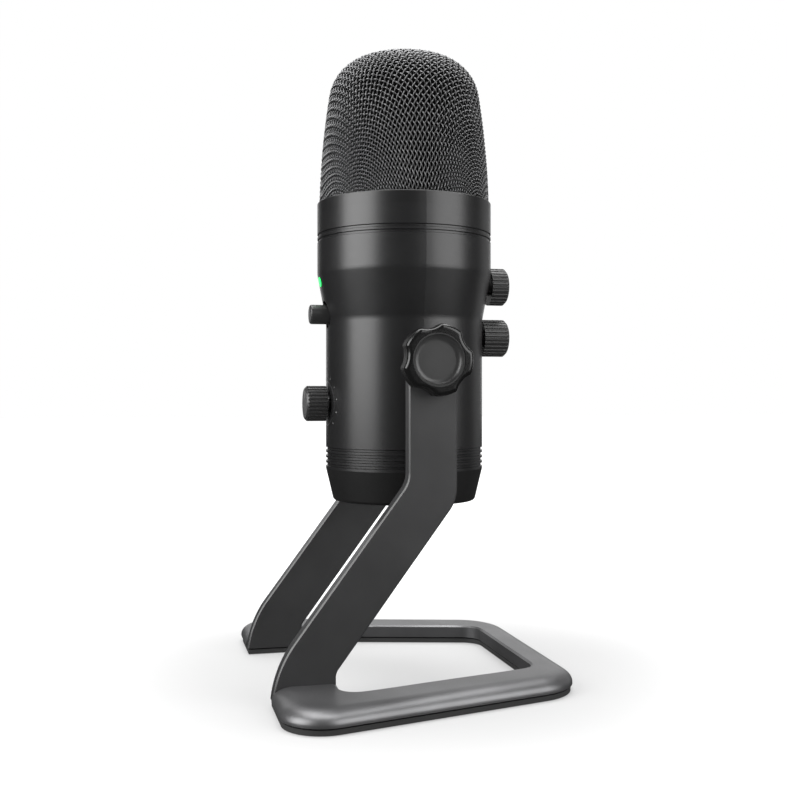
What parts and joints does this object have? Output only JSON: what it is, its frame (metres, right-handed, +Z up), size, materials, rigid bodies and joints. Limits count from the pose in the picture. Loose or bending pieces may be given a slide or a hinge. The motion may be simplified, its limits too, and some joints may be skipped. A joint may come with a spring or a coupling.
{
  "type": "desktop microphone",
  "caption": "Desktop USB condenser microphone with a woven grille, rear and front controls, tilting between two bent arms on an open U-shaped base.",
  "frame": {"origin": "centre of the base's footprint on the table", "axes": "+Z up; -Y the way the microphone faces; +X to the right as seen from the front, where the parts named right are"},
  "size_m": [0.1364, 0.0986, 0.213],
  "materials": {
    "base_metal": "satin gun-metal coating",
    "arm_metal": "matte coating with bright chamfers",
    "body_paint": "satin black coating",
    "ring_paint": "matte grained coating",
    "grille_wire": "black coated wire",
    "inner_mesh": "fine black mesh",
    "black_plastic": "fine texture",
    "pad_rubber": "matte",
    "washer_plastic": "nylon",
    "steel": "plain",
    "boss_metal": "satin black coating",
    "brass": "plain",
    "chassis_metal": "plain",
    "board": "solder mask",
    "socket_metal": "plated",
    "capsule_metal": "satin",
    "status_light": "lit",
    "trim_metal": "bright line"
  },
  "bodies": {
    "stand": {"base_casting": "base_metal", "base_pad": "pad_rubber", "arm_left": "arm_metal", "arm_bush_left": "brass", "inner_washer_left": "washer_plastic", "outer_washer_left": "washer_plastic", "arm_right": "arm_metal", "arm_bush_right": "brass", "inner_washer_right": "washer_plastic", "outer_washer_right": "washer_plastic", "foot_pin_left_front": "steel", "foot_pin_left_rear": "steel", "foot_pin_right_front": "steel", "foot_pin_right_rear": "steel"},
    "clamp_left": {"clamp_knob_left": "black_plastic", "clamp_stud_left": "steel", "knob_cap_left": "black_plastic"},
    "clamp_right": {"clamp_knob_right": "black_plastic", "clamp_stud_right": "steel", "knob_cap_right": "black_plastic"},
    "volume_control": {"volume_knob": "black_plastic", "volume_shaft": "steel"},
    "gain_control": {"gain_knob": "black_plastic", "gain_shaft": "steel"},
    "pattern_control": {"pattern_knob": "black_plastic", "pattern_shaft": "steel"},
    "mute_control": {"mute_button": "black_plastic"},
    "microphone": {"body_tube": "body_paint", "bottom_cap": "black_plastic", "cap_screw_1": "steel", "cap_screw_2": "steel", "cap_screw_3": "steel", "capsule_front": "capsule_metal", "capsule_mount": "black_plastic", "capsule_rear_left": "capsule_metal", "capsule_rear_right": "capsule_metal", "chassis": "chassis_metal", "gain_pot": "black_plastic", "grille": "grille_wire", "headphone_jack": "socket_metal", "inner_mesh": "inner_mesh", "main_board": "board", "mute_switch": "black_plastic", "pattern_switch": "black_plastic", "pivot_boss_left": "boss_metal", "pivot_boss_right": "boss_metal", "pivot_nut_left": "steel", "pivot_nut_right": "steel", "port_board": "board", "shock_ring": "pad_rubber", "status_led": "status_light", "thread_insert": "brass", "top_ring": "ring_paint", "usb_socket": "socket_metal", "volume_pot": "black_plastic", "volume_trim": "trim_metal"}
  },
  "joints": [
    {"name": "mic_tilt", "type": "hinge", "parent": "stand", "child": "microphone", "pos_m": [0, 0.0015, 0.106], "axis": [1, 0, 0], "range_deg": [-90, 90]},
    {"name": "clamp_turn_left", "type": "hinge", "parent": "microphone", "child": "clamp_left", "pos_m": [-0.042, 0.0015, 0.106], "axis": [-1, 0, 0], "range_deg": [0, 360]},
    {"name": "clamp_turn_right", "type": "hinge", "parent": "microphone", "child": "clamp_right", "pos_m": [0.042, 0.0015, 0.106], "axis": [1, 0, 0], "range_deg": [0, 360]},
    {"name": "volume_turn", "type": "hinge", "parent": "microphone", "child": "volume_control", "pos_m": [0, -0.0285, 0.0922], "axis": [0, -1, 0], "range_deg": [-150, 150]},
    {"name": "gain_turn", "type": "hinge", "parent": "microphone", "child": "gain_control", "pos_m": [0, 0.0315, 0.1332], "axis": [0, 1, 0], "range_deg": [-150, 150]},
    {"name": "pattern_turn", "type": "hinge", "parent": "microphone", "child": "pattern_control", "pos_m": [0, 0.0315, 0.1151], "axis": [0, 1, 0], "range_deg": [0, 90]},
    {"name": "mute_press", "type": "slide", "parent": "microphone", "child": "mute_control", "axis": [0, 1, 0], "range_m": [0, 0.0012], "stiffness_N_per_m": 600, "springref_m": -0.0008}
  ]
}
